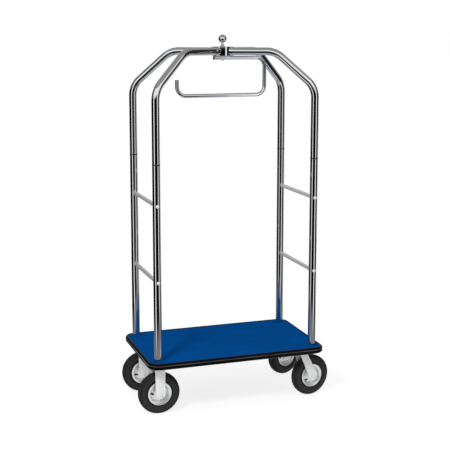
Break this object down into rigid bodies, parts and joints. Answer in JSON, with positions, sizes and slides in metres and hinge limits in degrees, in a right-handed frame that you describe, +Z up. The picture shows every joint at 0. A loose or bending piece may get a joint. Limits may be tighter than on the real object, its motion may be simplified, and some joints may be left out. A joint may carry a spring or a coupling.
{
  "type": "hotel luggage cart",
  "caption": "Birdcage luggage cart: carpeted deck with rubber bumper, chrome posts bending to a crown hub, end rungs, hanging garment rail, rigid and swivel pneumatic casters.",
  "frame": {"origin": "on the floor, below the centre of the whole cart's box at rest", "axes": "+X along the deck towards the swivel casters, +Y to the rear long side, +Z up"},
  "size_m": [1.0128, 0.556, 1.829],
  "materials": {
    "chrome": "polished chrome plate",
    "satin_steel": "satin",
    "zinc": "bright zinc plate",
    "dark_steel": "dark",
    "tyre": "matt",
    "bumper": "semi-gloss",
    "carpet": "short cut pile",
    "plywood": "sealed",
    "black_plastic": "moulded"
  },
  "bodies": {
    "cart_frame": {"axle_bolt_front_left": "zinc", "axle_bolt_rear_left": "zinc", "axle_nut_front_left": "zinc", "axle_nut_rear_left": "zinc", "crown_hub": "chrome", "deck_board": "plywood", "deck_carpet": "carpet", "edge_bumper": "bumper", "finial": "chrome", "garment_rail_bolt": "zinc", "joint_ring_front_left": "dark_steel", "joint_ring_front_right": "dark_steel", "joint_ring_rear_left": "dark_steel", "joint_ring_rear_right": "dark_steel", "kingpin_front_right": "zinc", "kingpin_rear_right": "zinc", "lower_post_front_left": "chrome", "lower_post_front_right": "chrome", "lower_post_rear_left": "chrome", "lower_post_rear_right": "chrome", "lower_rung_left": "satin_steel", "lower_rung_right": "satin_steel", "lower_rung_screw_front_left": "zinc", "lower_rung_screw_front_right": "zinc", "lower_rung_screw_rear_left": "zinc", "lower_rung_screw_rear_right": "zinc", "post_foot_bolt_front_left": "zinc", "post_foot_bolt_front_right": "zinc", "post_foot_bolt_rear_left": "zinc", "post_foot_bolt_rear_right": "zinc", "rigid_fork_front_left": "zinc", "rigid_fork_rear_left": "zinc", "swivel_plate_front_right": "zinc", "swivel_plate_rear_right": "zinc", "upper_post_front_left": "chrome", "upper_post_front_right": "chrome", "upper_post_rear_left": "chrome", "upper_post_rear_right": "chrome", "upper_rung_left": "satin_steel", "upper_rung_right": "satin_steel", "upper_rung_screw_front_left": "zinc", "upper_rung_screw_front_right": "zinc", "upper_rung_screw_rear_left": "zinc", "upper_rung_screw_rear_right": "zinc"},
    "swivel_caster_front": {"swivel_fork_front_right": "zinc", "axle_bolt_front_right": "zinc", "axle_nut_front_right": "zinc"},
    "swivel_caster_rear": {"swivel_fork_rear_right": "zinc", "axle_bolt_rear_right": "zinc", "axle_nut_rear_right": "zinc"},
    "wheel_front_left": {"wheel_rim_front_left": "zinc", "tyre_front_left": "tyre"},
    "wheel_rear_left": {"wheel_rim_rear_left": "zinc", "tyre_rear_left": "tyre"},
    "wheel_front_right": {"wheel_rim_front_right": "zinc", "tyre_front_right": "tyre"},
    "wheel_rear_right": {"wheel_rim_rear_right": "zinc", "tyre_rear_right": "tyre"},
    "garment_rail": {"garment_rail": "chrome", "garment_rail_plug": "black_plastic"}
  },
  "joints": [
    {"name": "garment_rail_turn", "type": "hinge", "parent": "cart_frame", "child": "garment_rail", "pos_m": [-0.01738, 0, 1.71585], "axis": [0, 0, 1], "continuous": true},
    {"name": "swivel_caster_front_turn", "type": "hinge", "parent": "cart_frame", "child": "swivel_caster_front", "pos_m": [0.34262, -0.166, 0.237], "axis": [0, 0, 1], "continuous": true},
    {"name": "swivel_caster_rear_turn", "type": "hinge", "parent": "cart_frame", "child": "swivel_caster_rear", "pos_m": [0.34262, 0.166, 0.237], "axis": [0, 0, 1], "continuous": true},
    {"name": "wheel_front_left_roll", "type": "hinge", "parent": "cart_frame", "child": "wheel_front_left", "pos_m": [-0.40238, -0.166, 0.104], "axis": [0, 1, 0], "continuous": true},
    {"name": "wheel_rear_left_roll", "type": "hinge", "parent": "cart_frame", "child": "wheel_rear_left", "pos_m": [-0.40238, 0.166, 0.104], "axis": [0, 1, 0], "continuous": true},
    {"name": "wheel_front_right_roll", "type": "hinge", "parent": "swivel_caster_front", "child": "wheel_front_right", "pos_m": [0.40171, -0.15558, 0.104], "axis": [-0.1736, 0.9848, 0], "continuous": true},
    {"name": "wheel_rear_right_roll", "type": "hinge", "parent": "swivel_caster_rear", "child": "wheel_rear_right", "pos_m": [0.399, 0.18652, 0.104], "axis": [-0.342, 0.9397, 0], "continuous": true}
  ]
}
